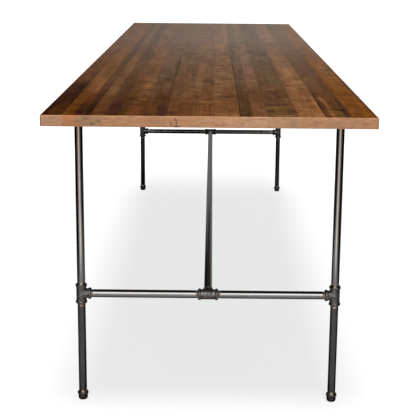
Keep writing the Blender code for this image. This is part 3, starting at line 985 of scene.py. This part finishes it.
def flange_mesh():
    """A floor flange, face up at height 0, with a filleted hub and four screw holes."""
    mouth = -FLANGE_HEIGHT
    web = -FLANGE_THICKNESS
    inside = [(MOUTH_RADIUS + 0.0009, mouth), (MOUTH_RADIUS, mouth + FLANGE_EDGE),
              (MOUTH_RADIUS - MOUTH_TAPER, mouth + SOCKET_DEPTH),
              (MOUTH_RADIUS - MOUTH_TAPER, 0.0)]
    rim = [(FLANGE_RADIUS - FLANGE_EDGE, 0.0), (FLANGE_RADIUS, -FLANGE_EDGE)]
    rim += [(FLANGE_RADIUS - inward, web + rise) for inward, rise in FLANGE_RIM]
    hub = []
    for step in range(7):
        bend = math.radians(15.0 * step)
        hub.append((FLANGE_HUB_RADIUS + FLANGE_HUB_FILLET * (1.0 - math.sin(bend)),
                    web - FLANGE_HUB_FILLET * (1.0 - math.cos(bend))))
    hub += [(FLANGE_HUB_RADIUS, mouth + FLANGE_EDGE), (FLANGE_HUB_RADIUS - FLANGE_EDGE, mouth)]
    solid = turned_mesh("flange", inside + rim + hub, 96, closed=True)
    cutters = []
    for spot in screw_spots():
        hole = turned_mesh("hole", [(0.0, CUT_PAST), (SCREW_HOLE, CUT_PAST),
                                    (SCREW_HOLE, web - CUT_PAST), (0.0, web - CUT_PAST)], 32)
        cutters.append(("DIFFERENCE", hole, Matrix.Translation(spot)))
    mesh = baked(*combined(solid, cutters))
    smooth(mesh, 35.0)
    return mesh


def screw_mesh(low_z, high_z):
    """A pan-head wood screw, point up, with a cross recess in its head."""
    seat = low_z + SCREW_HEAD_HEIGHT
    profile = [(radius, high_z - depth) for radius, depth in SCREW_POINT]
    profile += [(SCREW_RADIUS, seat), (SCREW_HEAD - 0.0003, seat), (SCREW_HEAD, seat - 0.0004)]
    for step in range(1, 9):
        bend = math.radians(11.0 * step)
        drop = SCREW_HEAD_EDGE + (SCREW_HEAD_HEIGHT - SCREW_HEAD_EDGE) * math.sin(bend)
        profile.append((SCREW_HEAD * math.cos(bend) ** 0.7, seat - drop))
    profile.append((0.0, low_z))
    solid = turned_mesh("screw", profile, 40)
    cutters = []
    for turn in (0.0, math.pi / 2):
        slot = bmesh.new()
        bmesh.ops.create_cube(slot, size=1.0)
        bmesh.ops.scale(slot, vec=SCREW_RECESS, verts=slot.verts)
        mesh = bpy.data.meshes.new("slot")
        slot.to_mesh(mesh)
        slot.free()
        cutters.append(("DIFFERENCE", mesh,
                        Matrix.Translation((0, 0, low_z)) @ Matrix.Rotation(turn, 4, "Z")))
    mesh = baked(*combined(solid, cutters))
    smooth(mesh, 40.0)
    return mesh


def make_flanges(iron, black):
    shape = flange_mesh()
    first_low, first_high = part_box("flange_screw_front_left_1")
    screw = screw_mesh(first_low.z, first_high.z)
    for corner in CORNERS:
        node = f"floor_flange_{corner}"
        mesh = shape.copy()
        mesh.transform(standing_at(node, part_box(node)[1].z))
        add_piece(f"cast_{node}", mesh, [iron], node)
        for number in range(1, SCREWS_PER_FLANGE + 1):
            node = f"flange_screw_{corner}_{number}"
            mesh = screw.copy()
            turn = Matrix.Rotation(SCREW_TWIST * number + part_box(node)[0].x, 4, "Z")
            mesh.transform(standing_at(node, 0.0) @ turn)
            add_piece(f"turned_{node}", mesh, [black], node)


# --- camera, floor and light ---

CAMERA_PLACE = Vector((0.0063, -4.7907, 1.5138))
CAMERA_YAW = math.radians(-0.177)
CAMERA_PITCH = math.radians(12.06)
CAMERA_ROLL = math.radians(0.505)
CAMERA_LENS = 89.05
CAMERA_SENSOR = 36.0
CAMERA_SHIFT_Y = -0.1034


def make_camera():
    data = bpy.data.cameras.new("camera")
    data.lens = CAMERA_LENS
    data.sensor_width = CAMERA_SENSOR
    data.shift_y = CAMERA_SHIFT_Y
    data.clip_end = 2.5 * BACKDROP_RADIUS
    camera = new_object("camera", data)
    forward = Vector((math.sin(CAMERA_YAW) * math.cos(CAMERA_PITCH),
                      math.cos(CAMERA_YAW) * math.cos(CAMERA_PITCH),
                      -math.sin(CAMERA_PITCH)))
    level = Vector((math.cos(CAMERA_YAW), -math.sin(CAMERA_YAW), 0.0))
    right = Matrix.Rotation(-CAMERA_ROLL, 3, forward) @ level
    up = right.cross(forward)
    turn = Matrix((right, up, -forward)).transposed().to_4x4()
    camera.matrix_world = Matrix.Translation(CAMERA_PLACE) @ turn
    bpy.context.scene.camera = camera


WHITE = (1.0, 1.0, 1.0)
FLOOR_REACH = 60.0
FLOOR_GLOW = 0.735
# Painted light: beyond the far end the floor glows brighter, easing from FLOOR_GLOW up to this
# over the span in Y below, which cuts the table's shadow short there.
FAR_END_PAINTED_GLOW = 0.945
FAR_END_PAINTED_SPAN = (1.3, 2.34)
FLOOR_WHITE = 0.22
SKY_LIGHT = 0.5
SUN_LIGHT = 1.05
SUN_SPREAD = 15.0
SUN_TILT = 16.0


def make_floor():
    bpy.ops.mesh.primitive_grid_add(x_subdivisions=4, y_subdivisions=4, size=2 * FLOOR_REACH)
    floor = bpy.context.object
    floor.name = "studio_floor"
    material, tree, shader, place = new_material("studio_floor")
    paper = noise(tree, place, 60.0, 2.0)
    along = parts_of(tree)[1]
    set_inputs(tree, shader, {
        "Base Color": (FLOOR_WHITE, FLOOR_WHITE, FLOOR_WHITE, 1.0),
        "Roughness": eased(tree, paper, 0.3, 0.7, 0.88, 0.94),
        "Specular IOR Level": 0.0,
        "Emission Color": (*WHITE, 1.0),
        # Painted light: the floor glows brighter beyond the far end.
        "Emission Strength": eased(tree, along, *FAR_END_PAINTED_SPAN, FLOOR_GLOW, FAR_END_PAINTED_GLOW)})
    floor.data.materials.append(material)
    floor.visible_glossy = False


def make_sky():
    world = bpy.data.worlds.new("studio")
    bpy.context.scene.world = world
    world.use_nodes = True
    set_inputs(world.node_tree, world.node_tree.nodes["Background"],
               {"Color": (*WHITE, 1.0), "Strength": SKY_LIGHT})
    world.cycles_visibility.glossy = False


def make_overhead_light():
    data = bpy.data.lights.new("overhead", "SUN")
    data.energy = SUN_LIGHT * math.pi
    data.angle = math.radians(SUN_SPREAD)
    light = new_object("overhead", data)
    light.location = (0.0, 0.0, 4.0)
    light.rotation_euler = (math.radians(SUN_TILT), 0.0, 0.0)
    light.visible_glossy = False


RAYS = ("camera", "glossy", "diffuse", "transmission", "volume_scatter", "shadow")


def light_card(item, name, seen_by):
    """Makes an object a glowing card that one kind of ray sees. Returns its node tree."""
    item.name = name
    for ray in RAYS:
        setattr(item, f"visible_{ray}", ray == seen_by)
    material = bpy.data.materials.new(name)
    material.use_nodes = True
    material.cycles.emission_sampling = "NONE"
    material.node_tree.nodes.clear()
    item.data.materials.append(material)
    return material.node_tree


def shell(name, radius, seen_by):
    """A large sphere around the studio that one kind of ray sees."""
    bpy.ops.mesh.primitive_uv_sphere_add(segments=64, ring_count=32, radius=radius)
    sphere = bpy.context.object
    tree = light_card(sphere, name, seen_by)
    return tree


BACKDROP_RADIUS = 80.0
BACKDROP_GLOW = 1.05
DOME_RADIUS = 40.0

# Panels on the dome: where each fades in, as sines of the directions toward -Y, +X and +Z
PANEL_GLOW = 4.6
PANEL_AHEAD = (0.85, 0.95)
PANEL_FOOT = (0.12, 0.28)
PANEL_TOP = (0.88, 0.74)
SIDE_PANEL_GLOW = 1.2
SIDE_AHEAD = (-0.6, -0.67)
SIDE_BEHIND = (-0.8, -0.74)
SIDE_FOOT = (-0.03, 0.0)
SIDE_TOP = (0.9, 0.6)
PANEL_TINT = (0.96, 0.98, 1.0)

# The pale wall beyond the far end, which the wood's oil mirrors, stronger to the right
SHEEN_GLOW = 0.72
SHEEN_BEHIND = (-0.8, -0.92)
SHEEN_FOOT = (-0.02, 0.01)
SHEEN_TOP = (0.2, 0.067)
SHEEN_ACROSS = (-0.15, 0.1, 0.74, 1.12)
SHEEN_TINT = (1.0, 0.985, 0.95)

# Bright areas of the mirrored floor, in metres. The apron is a wedge that widens toward -Y.
MIRRORED_FLOOR_PLACE = (0.0, 0.0, 0.0005)
APRON_GLOW = 2.9
APRON_APEX = -1.53
APRON_SLOPE = 0.35
APRON_WIDTH = 0.3
APRON_SWAY = 0.1
APRON_FALL = -1.4
APRON_NEAR = (-2.76, -3.3)
APRON_FAR = (-17.0, -12.0)
APRON_TINT = (1.04, 0.97, 0.92)
DISTANT = (-3.8, -6.6)
DISTANT_TINT = (0.93, 0.72, 0.56)
NEARBY_GLOW = 0.7
NEARBY_SIDES = (1.9, 1.1)
NEARBY_START = (-1.54, -1.64)
NEARBY_END = (-3.6, -2.9)
NEARBY_TINT = (1.0, 0.98, 0.96)
BESIDE_GLOW = 0.22
LEFT_GLOW = 0.14
RIGHT_INNER = (0.0, 0.4)
LEFT_INNER = (0.5, 0.8)
BESIDE_OUTER = (3.6, 2.4)
BESIDE_START = (-1.2, -0.5)
BESIDE_TINT = (1.0, 0.99, 0.98)

REAR_GLOW = 0.26
REAR_TINT = (1.0, 0.99, 0.97)
REAR_PLACE = (0.0, 1.94, 0.5)
REAR_SIZE = (3.0, 0.96, 1.0)
REAR_EDGE = (-0.3, -0.2)


def glowing(tree, *lamps):
    """Adds up emissions, each a strength and a colour, into the material's output."""
    total = None
    for strength, colour in lamps:
        glow = add_node(tree, "ShaderNodeEmission",
                        {"Strength": strength, "Color": (*colour, 1.0)}).outputs[0]
        if total is None:
            total = glow
        else:
            total = add_node(tree, "ShaderNodeAddShader", {0: total, 1: glow}).outputs[0]
    add_node(tree, "ShaderNodeOutputMaterial", {0: total})


def make_backdrop():
    tree = shell("white_backdrop", BACKDROP_RADIUS, "camera")
    glowing(tree, (BACKDROP_GLOW, WHITE))


def faded(tree, glow, *edges):
    """A glow that fades out at each edge, given as a value and its limits."""
    return product(tree, *[eased(tree, value, *limits) for value, limits in edges], glow)


def make_reflection_dome():
    """What metal and satin wood mirror above the floor: pale panels in a dark room."""
    tree = shell("reflection_dome", DOME_RADIUS, "glossy")
    x, y, z = parts_of(tree, 1 / DOME_RADIUS)
    level = calc(tree, "SQRT", calc(tree, "ADD", product(tree, x, x), product(tree, y, y)))
    ahead = calc(tree, "DIVIDE", product(tree, y, -1.0), calc(tree, "MAXIMUM", level, 0.001))
    panel = faded(tree, PANEL_GLOW, (ahead, PANEL_AHEAD), (z, PANEL_FOOT), (z, PANEL_TOP))
    sides = faded(tree, SIDE_PANEL_GLOW, (ahead, SIDE_AHEAD), (ahead, SIDE_BEHIND),
                  (z, SIDE_FOOT), (z, SIDE_TOP))
    behind = faded(tree, SHEEN_GLOW, (ahead, SHEEN_BEHIND), (z, SHEEN_TOP), (z, SHEEN_FOOT),
                   (x, SHEEN_ACROSS))
    glowing(tree, (calc(tree, "ADD", panel, sides), PANEL_TINT), (behind, SHEEN_TINT))


def apron_glow(tree, x, y):
    """The wedge of bright floor ahead of the table, brightest along its middle."""
    before = calc(tree, "MAXIMUM", calc(tree, "SUBTRACT", APRON_APEX, y), 0.0)
    wedge = calc(tree, "ADD", product(tree, before, APRON_SLOPE), APRON_WIDTH)
    shifted = calc(tree, "ADD", x, product(tree, wedge, APRON_SWAY))
    spread = calc(tree, "DIVIDE", calc(tree, "ABSOLUTE", shifted), wedge)
    square = product(tree, spread, spread)
    fall = calc(tree, "POWER", calc(tree, "ADD", square, 1.0), APRON_FALL)
    return product(tree, fall, faded(tree, APRON_GLOW, (y, APRON_NEAR), (y, APRON_FAR)))


def make_reflected_floor():
    """The floor as metal mirrors it: a bright apron ahead of the table, dark elsewhere."""
    bpy.ops.mesh.primitive_plane_add(size=2 * DOME_RADIUS, location=MIRRORED_FLOOR_PLACE)
    sheet = bpy.context.object
    tree = light_card(sheet, "reflected_floor", "glossy")
    x, y = parts_of(tree)[:2]
    leftward = product(tree, x, -1.0)
    apron = apron_glow(tree, x, y)
    distant = product(tree, apron, eased(tree, y, *DISTANT))
    middle = calc(tree, "SUBTRACT", apron, distant)
    nearby = faded(tree, NEARBY_GLOW, (calc(tree, "ABSOLUTE", x), NEARBY_SIDES),
                   (y, NEARBY_END), (y, NEARBY_START))
    right = faded(tree, BESIDE_GLOW, (x, RIGHT_INNER), (x, BESIDE_OUTER), (y, BESIDE_START))
    left = faded(tree, LEFT_GLOW, (leftward, LEFT_INNER), (leftward, BESIDE_OUTER),
                 (y, BESIDE_START))
    glowing(tree, (middle, APRON_TINT), (distant, DISTANT_TINT), (nearby, NEARBY_TINT),
            (calc(tree, "ADD", right, left), BESIDE_TINT))


def make_rear_card():
    """A low grey card behind the table that only the stretcher and rear pipes mirror."""
    bpy.ops.mesh.primitive_plane_add(size=1.0, location=REAR_PLACE,
                                     rotation=(math.pi / 2, 0.0, 0.0))
    card = bpy.context.object
    card.scale = REAR_SIZE
    tree = light_card(card, "rear_card", "glossy")
    across = parts_of(tree)[0]
    glowing(tree, (faded(tree, REAR_GLOW, (across, REAR_EDGE)), REAR_TINT))


def main():
    bpy.context.scene.view_settings.view_transform = "Standard"
    iron = cast_metal()
    make_camera()
    make_staves()
    make_pipes(glossy_coat(), dull_shaded_coat(), thread_metal())
    make_tees(iron)
    make_caps(iron)
    make_flanges(iron, screw_metal())
    make_floor()
    make_sky()
    make_overhead_light()
    make_backdrop()
    make_reflection_dome()
    make_reflected_floor()
    make_rear_card()


main()
